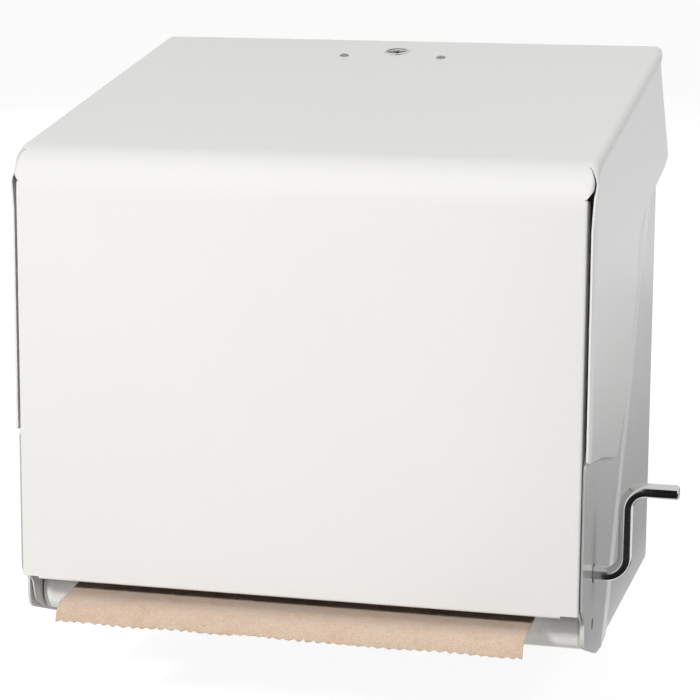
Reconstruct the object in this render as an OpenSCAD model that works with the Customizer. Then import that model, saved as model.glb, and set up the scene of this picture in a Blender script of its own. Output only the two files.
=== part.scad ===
// Wall dispenser for rolled paper towel: a folded steel chassis, a hinged steel cover and a crank
// whose feed roller draws the paper over a white lower roller and out below the cover.
// The frame's origin is on the wall, in the middle of the four wall screws. +Y points into the wall.
// Inside the modules the case is drawn with Y = 0 at the front panel and Z = 0 at the chassis' low edge.

/* [Case] */
// Width over the two side wings of the cover
case_w = 243; // [215:1:300]
// Depth from the front panel to the wall
case_d = 225; // [222:1:280]
// Height at which the top's slope would meet the front plane
front_h = 213.5; // [205:0.5:280]
// Slope of the top, which rises to the wall, in degrees
top_slope = 10; // [5:0.5:14]
// Gap from the top's rear edge to the wall
top_gap = 19; // [12:1:24]
// Height of the wall screws' middle above the chassis' low edge
wall_z = 120; // [100:1:140]
// Sideways distance between the wall screws
wall_dx = 150; // [100:1:180]
// Height distance between the wall screws
wall_dz = 150; // [100:1:160]
// Diameter of the wall screw holes
wall_hole_d = 5.5; // [4:0.1:7]

/* [Sheet steel] */
// Thickness of the cover's sheet
cover_t = 0.8; // [0.6:0.1:1.2]
// Thickness of the chassis' sheet
chassis_t = 1; // [0.8:0.1:1.2]
// Outer radius of the large bend from the front panel to the top
front_bend_r = 20; // [12:1:26]
// Outer radius of the bends from the top to the wings
side_bend_r = 3.6; // [2.5:0.1:6]
// Outer radius of the bends in the chassis
chassis_bend_r = 2.5; // [1.8:0.1:4]
// Height of the front panel's lower edge
panel_z = 34.4; // [32:0.1:38]
// Depth of the hem below the panel's edge
hem_drop = 1.2; // [0.8:0.1:2]
// Distance from the panel's corners to the ends of the hem
hem_inset = 7; // [4:0.5:14]
// Height of the wing's lower front corner
wing_low_z = 97; // [90:1:105]
// Depth by which the rear of each side plate is set in
joggle_depth = 3.3; // [1:0.1:5]
// Width of the slanted joggle band
joggle_w = 34; // [20:1:44]
// Slant of the joggle from upright, in degrees
joggle_slant = 32; // [20:1:40]

/* [Rollers] */
// Distance of both roller axes behind the front panel
axle_y = 30.5; // [29:0.5:38]
// Height of the lower roller's axis
axle_z = 23; // [21:0.5:26]
// Diameter of the feed roller and of the lower roller
roller_d = 21; // [18:0.5:22]
// Gap between the rollers, for the paper
nip_gap = 1; // [0.9:0.1:1.4]
// Diameter of the lower axle's ends, in the side plates
lower_axle_d = 5; // [4:0.5:6]
// Travel of the feed roller's bearing blocks against their springs
lift = 1.2; // [0.8:0.1:1.4]
// Number of rubber sleeves on the feed roller
sleeve_n = 3; // [2:1:5]

/* [Crank] */
// Diameter of the crank's rod
rod_d = 6; // [5:0.1:6.4]
// Height of the handle above the crank's axis
crank_throw = 36; // [28:1:40]
// Distance from the side plate to the middle of the crank's arm
crank_out = 12.7; // [11:0.1:16]
// Distance from the middle of the arm to the end of the handle
handle_l = 21.5; // [14:0.5:60]
// Radius of the rod's bends, at its middle
crank_bend_r = 8; // [6:0.5:10]

/* [Towel] */
// Room on each side of the towel for its hub, its arm and the case's side
towel_room = 22.5; // [20:0.5:30]
// Diameter of the roll
roll_d = 150; // [80:1:156]
// Distance of the roll's axis behind the front panel
roll_y = 118; // [116:1:124]
// Height of the roll's axis
roll_z = 140; // [136:1:142]
// Outer diameter of the cardboard core
core_d = 46; // [40:1:54]
// Wall of the cardboard core
core_wall = 3; // [2:0.5:4]
// Thickness of the paper web
web_t = 0.4; // [0.3:0.1:0.4]

/* [Roll arms and lock] */
// Thickness of the roll arms
arm_t = 1.5; // [1:0.1:2]
// Height of the roll arms' straps
arm_h = 24; // [18:1:28]
// Distance from the wall to the arms' pivot pins
arm_pin_gap = 18; // [15:1:22]
// Depth of each hub in the core
hub_l = 9.5; // [7:0.5:10]
// Distance of the lock's axis from the top's rear edge
lock_gap = 21; // [16:0.5:24]
// Sideways place of the lock
lock_x = -1.5; // [-6:0.5:6]
// Diameter of the lock's face
lock_d = 9.6; // [8:0.2:12]
// Distance between the lock's two rivets
lock_rivet_dx = 46; // [40:1:60]

/* [Hidden] */
$fn = 48;
run = 0.05; // running clearance of a shaft in its bore, on the radius
lip = 0.6; // flat lip by which a bend runs on into the sheets beside it
step_in = 0.06; // a bend's faces lie this much inside those of the sheets
arc_step = 6; // largest turn between two points of an arc, in degrees

// Cover: its panel, returns and wings
wing_x = case_w / 2; // outer face of a wing
wing_gap = 0.9; // gap from a wing to the side plate under it
plate_x = wing_x - cover_t - wing_gap; // outer face of a side plate's front
plate_in_x = plate_x - chassis_t;
return_gap = 0.5; // gap from a side plate to the panel's return inside it
return_x = plate_in_x - return_gap; // outer face of the panel's returns
return_in_x = return_x - cover_t;
return_d = 9; // depth of the returns
panel_bend_r = 1.6;
towel_w = case_w - 2 * towel_room;
top_back = case_d - top_gap; // the top's rear edge
top_corner = 14; // where the wings' rear edges leave the top, ahead of its rear edge
function top_z(y) = front_h + y * tan(top_slope);
bend_c = [front_bend_r, front_h + front_bend_r * tan(top_slope) - front_bend_r / cos(top_slope)];
top_a = 90 + top_slope; // angle at which the large bend meets the top
bend_y = bend_c[0] + front_bend_r * cos(top_a); // where the top's flat part starts
wing_arc = 34; // turn of the large bend that the wings' bends follow
ear_gap = 1.1; // gap round the ear that closes each upper corner
ear_a0 = top_a + wing_arc + 3;
ear_a1 = 164; // angle on the large bend at which the ear ends
ear_back = 10.5;
wing_front_y = 2;

// Chassis: side plates, the joggle and the back
rear_x = plate_x - joggle_depth; // outer face of a side plate's rear
rear_in_x = rear_x - chassis_t;
nose_y = 9; // front edge of a side plate's nose
nose_low = axle_z - 4.5;
joggle_y = 85; // a point on the joggle's front line
joggle_z = 50;
back_h = 244;
flange_w = 9;
top_clear = 4; // gap from the chassis' upper edges to the cover's top
wing_tip_z = 198; // where a wing's rear corner meets the wall
wall_clear = 0.5; // gap from a wing's corner to the wall

// Feed: heights follow from the rollers
feed_z = axle_z + roller_d + nip_gap;
slot_w = rod_d + 1;
slot_play = 0.2; // room in the plate's slot beyond the lift, above and below
block_d = 20.6;
block_h = 16.5;
block_w = 8;
guide_t = 1;
guide_gap = 0.1;
guide_d = block_d + 2 * guide_gap + 2 * guide_t;
guide_low = feed_z - 8.2;
guide_h = 35;
guide_w = 10.8;
guide_x = plate_in_x - guide_t; // inner face of a guide's base
block_x = guide_x - guide_gap; // outer face of a bearing block
block_low = feed_z - 7.5;
feed_l = 2 * (guide_x - guide_w - 0.6);
core_r = roller_d / 2 - 3;
sleeve_gap = 12;
sleeve_l = (feed_l - (sleeve_n - 1) * sleeve_gap) / sleeve_n;
pin_r = 1.2;
clip_t = 0.6;
arm_x = plate_x + crank_out;
rod_left = plate_x + 4; // the rod's free end stands this far left of the middle

// Lower roller and the ears that hinge on its axle
axle_recess = 0.8;
axle_r = lower_axle_d / 2 + 0.7; // between the plates, so that its shoulders hold it
cap_flange = 1.2;
roller_x = return_in_x - 0.6; // outer face of the end caps
tube_wall = 1.2;
hinge_ear_r = 9;

// Front rail and tear bar
rail_y = 12;
rail_low = 47;
rail_h = 20;
rail_d = 6.5;
tooth_w = 4.2;
tooth_h = 2.5;
tear_t = 0.8;
tear_low = 31.4; // the teeth's points
tear_w = towel_w + 10;
tear_screw_dx = tear_w / 2 - 14;

// Roll, arms and hubs
roll_x = towel_w / 2;
hub_gap = 0.4;
hub_flange = 3;
arm_in_x = roll_x + hub_gap + hub_flange; // inner face of an arm's strap
arm_pin_r = 2;
knuckle_r = 3.6;
arm_pin_x = arm_in_x + knuckle_r;
arm_pin_y = case_d - arm_pin_gap;
bracket_t = 1.2;
bracket_h = 34;
bracket_r = 5; // half width of its two leaves, which are round about the pin
hub_clear = 0.4;
rivet_r = 2.5;
rivet_head_r = 4.5;
rivet_head_t = 1.2;

// Web: from under the roll, through the nip and out
web_clear = 0.3;

// Lock
lock_y = top_back - lock_gap;
case_t = 1.2;
boss_r = 8;
boss_h = 9;
barrel_r = 6;
cam_t = 1.5;
cam_l = 16;
cam_w = 9;
cam_drop = cover_t + case_t + boss_h + 0.4; // top of the cam below the cover's face
strike_t = 1.2;
strike_w = 40;
strike_gap = 0.5; // from the strike down to the cam
strike_front = boss_r + 1;
lock_rivet_y = -9.5;
lock_margin = 5.5; // plate beyond its rivets
lock_plate_x = lock_rivet_dx / 2 + lock_margin;

function unit(v) = v / norm(v);
function turn(a, b, c) = sign((b[0] - a[0]) * (c[1] - b[1]) - (b[1] - a[1]) * (c[0] - b[0]));

// Points of the arc of radius r that rounds corner p between its neighbours a and b
function corner(a, p, b, r) =
    r <= 0 ? [p] :
    let (u = unit(a - p), v = unit(b - p), half = acos(max(-1, min(1, u * v))) / 2)
    half > 89.5 ? [p] :
    let (c = p + unit(u + v) * r / sin(half),
         s = p + u * r / tan(half),
         sweep = turn(a, p, b) * (180 - 2 * half),
         a0 = atan2(s[1] - c[1], s[0] - c[0]),
         n = max(1, ceil(abs(sweep) / arc_step)))
    [for (i = [0:n]) c + r * [cos(a0 + sweep * i / n), sin(a0 + sweep * i / n)]];

// A closed outline with each corner rounded by its own radius
function rounded(p, r) =
    let (n = len(p))
    [for (i = [0:n - 1]) each corner(p[(i + n - 1) % n], p[i], p[(i + 1) % n], r[i])];

// A path with each inner corner rounded, and its ends as they are
function eased(p, r) =
    let (n = len(p))
    concat([p[0]], [for (i = [1:n - 2]) each corner(p[i - 1], p[i], p[i + 1], r[i])], [p[n - 1]]);

// A path moved sideways by d, positive to the left
function beside(p, d) =
    let (n = len(p),
         normals = [for (i = [0:n - 2]) let (u = unit(p[i + 1] - p[i])) [-u[1], u[0]]])
    [for (i = [0:n - 1])
        i == 0 ? p[0] + d * normals[0] :
        i == n - 1 ? p[n - 1] + d * normals[n - 2] :
        p[i] + d * (normals[i - 1] + normals[i]) / (1 + normals[i - 1] * normals[i])];

// Outline of a bent sheet: the path is one face, the other lies d beside it
function sheet(p, d, r) =
    let (n = len(p),
         radii = [for (i = [0:n - 1]) i == 0 || i == n - 1 ? 0 : is_list(r) ? r[i] : r],
         other = [for (i = [0:n - 1])
             i == 0 || i == n - 1 ? 0 : max(0.05, radii[i] - d * turn(p[i - 1], p[i], p[i + 1]))],
         back = eased(beside(p, d), other))
    concat(eased(p, radii), [for (i = [len(back) - 1:-1:0]) back[i]]);

module place() translate([0, -case_d, -wall_z]) children();
// Extrudes an outline given in Y and Z along X
module along_x(x, w) translate([x, 0, 0]) rotate([90, 0, 90]) linear_extrude(w) children();
module both_sides() {
    children();
    mirror([1, 0, 0]) children();
}
module side(s) mirror([s < 0 ? 1 : 0, 0, 0]) children();
// A rod along X from x0 to x1
module rod_x(x0, x1, r, fn = 48) translate([x0, 0, 0]) rotate([0, 90, 0]) cylinder(h = x1 - x0, r = r, $fn = fn);
// Local frame on the top's outer face: Z stands square to it, Y runs up its slope
module on_top(y) translate([0, y, top_z(y)]) rotate([top_slope, 0, 0]) children();
module at_axle() translate([0, axle_y, axle_z]) children();
module at_feed() translate([0, axle_y, feed_z]) children();
module at_roll() translate([0, roll_y, roll_z]) children();
module at_lock() translate([lock_x, 0, 0]) on_top(lock_y) children();

// A slot's outline along Y, upright in Z
module upright_slot(w, h) {
    for (s = [-1, 1]) translate([0, s * (h - w) / 2]) circle(r = w / 2);
    square([w, h - w], center = true);
}

// Coil spring along Z: one tube of n turns, whose ends lead straight on to the last point
wire_sides = 6;
rings_per_turn = 8;
function helix(r, h, n) = [for (i = [0:n * rings_per_turn])
    let (a = 360 * i / rings_per_turn) [r * cos(a), r * sin(a), h * i / (n * rings_per_turn)]];
function gap_of(path, d) = min([for (i = [0:len(path) - 1]) for (j = [i + rings_per_turn - 2:1:len(path) - 1])
    norm(path[i] - path[j]) - d]);
module tube(path, d) {
    n = len(path);
    dirs = [for (i = [0:n - 1]) unit(path[min(n - 1, i + 1)] - path[max(0, i - 1)])];
    ring = [for (i = [0:n - 1])
        let (side_way = unit(cross(dirs[i], abs(dirs[i][2]) > 0.9 ? [1, 0, 0] : [0, 0, 1])),
             up_way = cross(side_way, dirs[i]))
        for (k = [0:wire_sides - 1])
            path[i] + d / 2 * (side_way * cos(360 * k / wire_sides) + up_way * sin(360 * k / wire_sides))];
    faces = [for (i = [0:n - 2]) for (k = [0:wire_sides - 1])
        let (a = i * wire_sides + k, b = i * wire_sides + (k + 1) % wire_sides)
        each [[a, a + wire_sides, b], [b, a + wire_sides, b + wire_sides]]];
    first = [for (k = [1:wire_sides - 2]) [0, k, k + 1]];
    last = [for (k = [1:wire_sides - 2]) [(n - 1) * wire_sides, (n - 1) * wire_sides + k + 1,
        (n - 1) * wire_sides + k]];
    polyhedron(points = ring, faces = concat(faces, first, last));
}

// Chassis

// Outline of a side plate, in Y and Z
side_top_front = 15;
side_front_y = 2.5;
side_step_z = wing_low_z - 2;
wing_rear_z = 190; // top of the rear edge, under the wing's corner
side_outline = rounded(
    [[42, 7], [nose_y, nose_low], [nose_y, axle_z + 8.5],
     [side_front_y, axle_z + 13.5], [side_front_y, side_step_z], [side_top_front, side_step_z + 12],
     [side_top_front, top_z(side_top_front) - top_clear], [top_back - 24, top_z(top_back - 24) - top_clear],
     [top_back - 8, top_z(top_back - 8) - 30], [case_d - chassis_bend_r, wing_rear_z],
     [case_d - chassis_bend_r, 0], [95, 0], [66, 4.5]],
    [30, 8, 3, 3, 3, 6, front_bend_r - 4, 10, 10, 2, 0, 0, 40]);

// A side plate's section across the joggle: the front lies outside, the rear is set in
joggle_section = sheet(
    [[plate_x, -180], [plate_x, 0], [rear_x, joggle_w], [rear_x, 260]],
    chassis_t, 10);

flange_start = joggle_y + joggle_w / cos(joggle_slant) - joggle_z * tan(joggle_slant);
flange_end = case_d - chassis_bend_r - 2;
fold_z = chassis_bend_r + 0.6; // above the folded lower edge
module side_plate() difference() {
    intersection() {
        along_x(rear_in_x - 5, plate_x - rear_in_x + 10) polygon(side_outline);
        translate([0, joggle_y, joggle_z]) rotate([-joggle_slant, 0, 0]) translate([0, 0, -200])
            linear_extrude(500) polygon(joggle_section);
    }
    // relief where the lower edge is folded in
    translate([rear_in_x - 5, flange_start - 1.5, -10]) cube([20, case_d, 10 + fold_z]);
}

module corner_strip(h) {
    // bend from a side plate to the back, seen from above
    translate([0, 0, fold_z]) linear_extrude(h - fold_z) polygon(sheet(
        [[rear_x, case_d - chassis_bend_r - 2], [rear_x, case_d], [rear_x - chassis_bend_r - 6, case_d]],
        chassis_t, chassis_bend_r));
}

// Folded lower edge of a side plate's rear, its section in X and Z run along Y
module low_flange() {
    translate([0, flange_end, 0]) rotate([90, 0, 0]) linear_extrude(flange_end - flange_start)
        polygon(sheet([[rear_x, fold_z + 1], [rear_x, 0], [rear_x - flange_w, 0]],
            -chassis_t, chassis_bend_r));
}

module chassis() color([0.9, 0.9, 0.89]) place() difference() {
    union() {
        both_sides() {
            side_plate();
            corner_strip(wing_rear_z);
            low_flange();
        }
        translate([chassis_bend_r - rear_x, case_d - chassis_t, 0])
            cube([2 * (rear_x - chassis_bend_r), chassis_t, back_h - chassis_bend_r]);
        // stiffening flange along the back's upper edge, open in the middle for the strike
        both_sides() along_x(strike_w / 2 + 6, rear_x - chassis_bend_r - strike_w / 2 - 6)
            polygon(sheet([[case_d, back_h - chassis_bend_r - 2], [case_d, back_h],
                [case_d - flange_w, back_h]], chassis_t, chassis_bend_r));
    }
    for (x = [-1, 1]) for (z = [-1, 1])
        translate([x * wall_dx / 2, case_d + 1, wall_z + z * wall_dz / 2])
            rotate([90, 0, 0]) cylinder(h = 10, r = wall_hole_d / 2);
    at_axle() rod_x(-wing_x, wing_x, lower_axle_d / 2 + run);
    at_feed() translate([-wing_x, 0, 0]) rotate([90, 0, 90]) linear_extrude(2 * wing_x)
        upright_slot(slot_w, slot_w + lift + 2 * slot_play);
}

// Folded rail between the side plates, which carries the tear bar
module front_rail() color([0.75, 0.76, 0.77]) place() difference() {
    along_x(-plate_in_x, 2 * plate_in_x)
        polygon(sheet([[rail_y + rail_d, rail_low], [rail_y, rail_low], [rail_y, rail_low + rail_h],
            [rail_y + rail_d, rail_low + rail_h]], -chassis_t, 1.6));
    for (x = [-1:1]) translate([x * tear_screw_dx, rail_y - 1, rail_low + rail_h / 2])
        rotate([-90, 0, 0]) cylinder(h = 4, r = 1.5 + run);
}

// Serrated steel strip, screwed to the front of the rail
module tear_bar() color([0.7, 0.71, 0.73]) place() difference() {
    n = floor(tear_w / tooth_w);
    top = rail_low + rail_h - 1;
    translate([0, rail_y - tear_t, 0]) mirror([0, 1, 0]) rotate([90, 0, 0]) linear_extrude(tear_t)
        polygon(concat(
            [[n * tooth_w / 2, top], [-n * tooth_w / 2, top]],
            [for (i = [0:n]) let (x = -n * tooth_w / 2 + i * tooth_w)
                each i < n ? [[x, tear_low + tooth_h], [x + tooth_w / 2, tear_low]]
                           : [[x, tear_low + tooth_h]]]));
    for (x = [-1:1]) translate([x * tear_screw_dx, rail_y - tear_t - 1, rail_low + rail_h / 2])
        rotate([-90, 0, 0]) cylinder(h = 4, r = 1.5 + run);
}

module tear_bar_screws() color([0.6, 0.6, 0.62]) place()
    for (x = [-1:1]) translate([x * tear_screw_dx, rail_y - tear_t, rail_low + rail_h / 2]) rotate([-90, 0, 0]) {
        cylinder(h = tear_t + chassis_t + 2, r = 1.5);
        translate([0, 0, -1.2]) cylinder(h = 1.2, r = 2.8);
    }

// Its ends sit in the side plates and its shoulders hold it between them
module lower_axle() color([0.7, 0.7, 0.72]) place() at_axle() {
    rod_x(axle_recess - plate_x, plate_x - axle_recess, lower_axle_d / 2);
    rod_x(0.1 - plate_in_x, plate_in_x - 0.1, axle_r);
}

// Open spring clip on the crank's rod
module c_clip(x, r) translate([x, 0, 0]) rotate([0, 90, 0]) difference() {
    cylinder(h = clip_t, r = r + 2.4);
    translate([0, 0, -1]) cylinder(h = clip_t + 2, r = r);
    translate([0, 0, -1]) linear_extrude(clip_t + 2)
        polygon([[0, 0], [2 * r + 6, -r - 1.5], [2 * r + 6, r + 1.5]]);
}

// Channel welded inside a side plate, in which a bearing block slides
module bearing_guide(s) color([0.78, 0.79, 0.8]) place() side(s) difference() {
    translate([plate_in_x - guide_w - guide_t, axle_y - guide_d / 2, guide_low])
        cube([guide_w + guide_t, guide_d, guide_h]);
    translate([plate_in_x - guide_w - guide_t - 1, axle_y - guide_d / 2 + guide_t, guide_low - 1])
        cube([guide_w + 1, guide_d - 2 * guide_t, guide_h + 1 - guide_t]);
    at_feed() translate([guide_x - 1, 0, 0]) rotate([90, 0, 90]) linear_extrude(guide_t + 2)
        upright_slot(slot_w, slot_w + lift + 2 * slot_play);
}
module bearing_guide_left() bearing_guide(-1);
module bearing_guide_right() bearing_guide(1);

// Nylon block that carries the crank's rod
module bearing_block(s) color([0.93, 0.92, 0.88]) place() side(s) difference() {
    translate([block_x - block_w, axle_y - block_d / 2, block_low]) cube([block_w, block_d, block_h]);
    at_feed() rod_x(block_x - block_w - 1, block_x + 1, rod_d / 2 + run);
}
module bearing_block_left() bearing_block(-1);
module bearing_block_right() bearing_block(1);

// Pressure spring between a bearing block and the top of its guide
spring_wire = 0.9;
spring_r = 3.6;
spring_turns = 5;
spring_low = block_low + block_h + spring_wire / 2 + 0.1;
spring_high = guide_low + guide_h - guide_t - spring_wire / 2 - 0.1;
module feed_spring(s) color([0.6, 0.61, 0.63]) place() side(s)
    translate([block_x - block_w / 2 - 0.3, axle_y, spring_low])
        tube(helix(spring_r, spring_high - spring_low, spring_turns), spring_wire);
module feed_spring_left() feed_spring(-1);
module feed_spring_right() feed_spring(1);
echo(feed_spring_gap = gap_of(helix(spring_r, spring_high - spring_low, spring_turns), spring_wire));

// Strike on the chassis' back: the lock's cam turns in under it
strike_drop = cam_drop - strike_gap - strike_t; // its upper face below the cover's face
function strike_z(y) = top_z(y) - strike_drop / cos(top_slope);
strike_y = lock_y + strike_front * cos(top_slope) + strike_drop * sin(top_slope);
strike_end = [strike_y, strike_z(strike_y)];
strike_back = [case_d - chassis_t, strike_z(case_d - chassis_t)];
strike_leg = 26;
strike_rivet_dx = 24;
module strike_bracket() color([0.75, 0.76, 0.77]) place() translate([lock_x, 0, 0]) difference() {
    along_x(-strike_w / 2, strike_w)
        polygon(sheet([strike_end, strike_back, strike_back - [0, strike_leg]], -strike_t, 2));
    for (x = [-1, 1]) translate([x * strike_rivet_dx / 2, case_d, strike_back[1] - strike_leg + 8])
        rotate([90, 0, 0]) cylinder(h = 6, r = 1.6 + run);
}
module strike_rivets() color([0.6, 0.6, 0.62]) place() translate([lock_x, 0, 0])
    for (x = [-1, 1]) translate([x * strike_rivet_dx / 2, case_d - chassis_t, strike_back[1] - strike_leg + 8])
        rotate([90, 0, 0]) {
            cylinder(h = strike_t, r = 1.6);
            translate([0, 0, strike_t]) cylinder(h = 1.1, r = 3);
        }

// Roll arms

module arm_bracket(s) color([0.78, 0.79, 0.8]) place() side(s) difference() {
    union() {
        translate([arm_pin_x - bracket_r - 3, case_d - chassis_t - bracket_t, roll_z - bracket_h / 2])
            cube([2 * bracket_r + 4, bracket_t, bracket_h]);
        for (k = [-1, 1]) translate([0, 0, roll_z + k * (bracket_h - bracket_t) / 2 - bracket_t / 2])
            linear_extrude(bracket_t) {
                translate([arm_pin_x - bracket_r, arm_pin_y])
                    square([2 * bracket_r, arm_pin_gap - chassis_t - bracket_t / 2]);
                translate([arm_pin_x, arm_pin_y]) circle(r = bracket_r);
            }
    }
    translate([arm_pin_x, arm_pin_y, roll_z - bracket_h]) cylinder(h = 2 * bracket_h, r = arm_pin_r + run);
}
module arm_bracket_left() arm_bracket(-1);
module arm_bracket_right() arm_bracket(1);

module arm_pin(s) color([0.62, 0.62, 0.64]) place() side(s)
    translate([arm_pin_x, arm_pin_y, roll_z - bracket_h / 2 - 1.5]) {
        cylinder(h = bracket_h + 3, r = arm_pin_r);
        translate([0, 0, bracket_h + 1.6]) cylinder(h = 1.6, r = arm_pin_r + 1.4);
    }
module arm_pin_left() arm_pin(-1);
module arm_pin_right() arm_pin(1);

knuckle_h = arm_h / 2;
knuckle_z = roll_z + bracket_h / 2 - bracket_t - 0.3 - knuckle_h; // the arm's knuckle fills the bracket's top
module roll_arm(s) color([0.72, 0.73, 0.75]) place() side(s) difference() {
    union() {
        // strap with a round front end, seen from the side
        along_x(arm_in_x, arm_t) {
            translate([roll_y, roll_z]) circle(r = arm_h / 2);
            polygon([[roll_y, roll_z - arm_h / 2], [arm_pin_y - 12, roll_z - arm_h / 2],
                [arm_pin_y - 6, knuckle_z], [arm_pin_y, knuckle_z], [arm_pin_y, knuckle_z + knuckle_h],
                [arm_pin_y - 6, knuckle_z + knuckle_h], [arm_pin_y - 12, roll_z + arm_h / 2],
                [roll_y, roll_z + arm_h / 2]]);
        }
        translate([arm_pin_x, arm_pin_y, knuckle_z]) cylinder(h = knuckle_h, r = knuckle_r);
    }
    translate([arm_pin_x, arm_pin_y, knuckle_z - 1]) cylinder(h = knuckle_h + 2, r = arm_pin_r + run);
    at_roll() rod_x(arm_in_x - 1, arm_in_x + arm_t + 1, rivet_r + run);
}
module roll_arm_left() roll_arm(-1);
module roll_arm_right() roll_arm(1);

// Torsion spring on the pin, below the knuckle: one leg on the back, one behind the arm
arm_wire = 1;
arm_spring_r = 3.4;
arm_spring_turns = 5;
arm_leg = 26; // reach of the leg behind the arm, ahead of the pin
arm_spring_low = roll_z - bracket_h / 2 + bracket_t + 1.2;
arm_spring_h = knuckle_z - 1.2 - arm_spring_low;
arm_spring_path = concat(
    [[arm_spring_r, case_d - chassis_t - bracket_t - 1 - arm_pin_y, 0], [arm_spring_r, arm_spring_r + 0.6, 0]],
    helix(arm_spring_r, arm_spring_h, arm_spring_turns),
    [[arm_spring_r, -arm_spring_r - 0.6, arm_spring_h], [0.5, -0.6 * arm_leg, arm_spring_h],
     [0, -arm_leg, arm_spring_h]]);
module arm_spring(s) color([0.6, 0.61, 0.63]) place() side(s)
    translate([arm_pin_x, arm_pin_y, arm_spring_low]) tube(arm_spring_path, arm_wire);
module arm_spring_left() arm_spring(-1);
module arm_spring_right() arm_spring(1);
echo(arm_spring_gap = gap_of(helix(arm_spring_r, arm_spring_h, arm_spring_turns), arm_wire));

// Tapered plastic hub, held to its arm by a shouldered rivet
hub_r = core_d / 2 - core_wall - hub_clear;
module hub(s) color([0.9, 0.9, 0.88]) place() side(s) at_roll() difference() {
    union() {
        rod_x(roll_x + hub_gap, arm_in_x, core_d / 2 + 1);
        translate([roll_x + hub_gap, 0, 0]) rotate([0, -90, 0])
            cylinder(h = hub_l + hub_gap, r1 = hub_r, r2 = hub_r - 2.4);
    }
    rod_x(roll_x - hub_l - 1, arm_in_x + 1, rivet_r + run);
}
module hub_left() hub(-1);
module hub_right() hub(1);

module hub_rivet(s) color([0.6, 0.6, 0.62]) place() side(s) at_roll() {
    rod_x(roll_x - hub_l + 1, arm_in_x + arm_t, rivet_r);
    rod_x(arm_in_x + arm_t, arm_in_x + arm_t + rivet_head_t, rivet_head_r);
}
module hub_rivet_left() hub_rivet(-1);
module hub_rivet_right() hub_rivet(1);

// Towel

module towel_core() color([0.72, 0.58, 0.42]) place() at_roll() difference() {
    rod_x(-roll_x, roll_x, core_d / 2, 72);
    rod_x(-roll_x - 1, roll_x + 1, core_d / 2 - core_wall, 72);
}
module towel_roll() color([0.78, 0.65, 0.51]) place() at_roll() difference() {
    rod_x(-roll_x, roll_x, roll_d / 2, 120);
    rod_x(-roll_x - 1, roll_x + 1, core_d / 2, 72);
}

// Path of the paper's middle: under the roll, through the nip, over the lower roller and out
nip = [axle_y + 14, axle_z + (roller_d + nip_gap) / 2 + 1.2];
reach = roll_d / 2 + web_clear + web_t / 2;
roll_c = [roll_y, roll_z];
to_roll = roll_c - nip;
leave_a = atan2(to_roll[1], to_roll[0]) - asin(reach / norm(to_roll));
leave = nip + sqrt(norm(to_roll) * norm(to_roll) - reach * reach) * [cos(leave_a), sin(leave_a)];
lap = roller_d / 2 + web_clear + web_t / 2; // the web's distance from the lower roller's axis
lap_a = 20;
function on_lap(a) = [axle_y, axle_z] + lap * [-sin(a), cos(a)];
web_path = eased(
    concat([leave, nip, [axle_y + 5, axle_z + (roller_d + nip_gap) / 2]],
        [for (a = [0:5:lap_a]) on_lap(a)],
        [on_lap(lap_a) + 13 * [-cos(lap_a), -sin(lap_a)], [-8.5, panel_z - 7.6],
         [-12.6, panel_z - 10.4], [-13.6, panel_z - 15.6]]),
    [0, 8, 0, 0, 0, 0, 0, 0, 10, 8, 5, 0]);
module towel_web() color([0.8, 0.67, 0.53]) place() along_x(-roll_x, towel_w)
    polygon(concat(beside(web_path, web_t / 2),
        [for (i = [len(web_path) - 1:-1:0]) beside(web_path, -web_t / 2)[i]]));

// Crank and rollers

module quarter_bend(r) rotate_extrude(angle = 90) translate([r, 0]) circle(r = rod_d / 2, $fn = 32);
module crank() color([0.8, 0.81, 0.83]) place() at_feed() {
    low_end = arm_x - crank_bend_r;
    difference() {
        rod_x(-rod_left, low_end, rod_d / 2);
        for (x = [-1, 1]) translate([x * feed_l / 4, 0, -rod_d]) cylinder(h = 2 * rod_d, r = pin_r + run);
    }
    translate([low_end, 0, crank_bend_r]) rotate([90, 0, 0]) rotate([0, 0, -90]) quarter_bend(crank_bend_r);
    translate([arm_x, 0, crank_bend_r]) cylinder(h = crank_throw - 2 * crank_bend_r, r = rod_d / 2);
    translate([arm_x + crank_bend_r, 0, crank_throw - crank_bend_r])
        rotate([90, 0, 0]) rotate([0, 0, 90]) quarter_bend(crank_bend_r);
    translate([0, 0, crank_throw]) {
        rod_x(arm_x + crank_bend_r, arm_x + handle_l - 0.8, rod_d / 2);
        translate([arm_x + handle_l - 0.8, 0, 0]) rotate([0, 90, 0])
            cylinder(h = 0.8, r1 = rod_d / 2, r2 = rod_d / 2 - 0.7, $fn = 48);
    }
}

module feed_roller_core() color([0.66, 0.67, 0.69]) place() at_feed() difference() {
    rod_x(-feed_l / 2, feed_l / 2, core_r);
    rod_x(-feed_l / 2 - 1, feed_l / 2 + 1, rod_d / 2 + run);
    for (x = [-1, 1]) translate([x * feed_l / 4, 0, -core_r - 1]) cylinder(h = 2 * core_r + 2, r = pin_r + run);
}
module feed_roller_sleeves() color([0.2, 0.2, 0.21]) place() at_feed()
    for (i = [0:sleeve_n - 1]) difference() {
        x = -feed_l / 2 + i * (sleeve_l + sleeve_gap);
        rod_x(x, x + sleeve_l, roller_d / 2);
        rod_x(x - 1, x + sleeve_l + 1, core_r);
    }
module roller_pins() color([0.55, 0.55, 0.57]) place() at_feed() for (x = [-1, 1])
    translate([x * feed_l / 4, 0, 0.2 - core_r]) cylinder(h = 2 * core_r - 0.4, r = pin_r);
module crank_clips() color([0.45, 0.45, 0.47]) place() at_feed() {
    c_clip(-plate_x - 0.8 - clip_t, rod_d / 2);
    c_clip(block_x - block_w - 0.3 - clip_t, rod_d / 2);
    c_clip(-block_x + block_w + 0.3, rod_d / 2);
}

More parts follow.
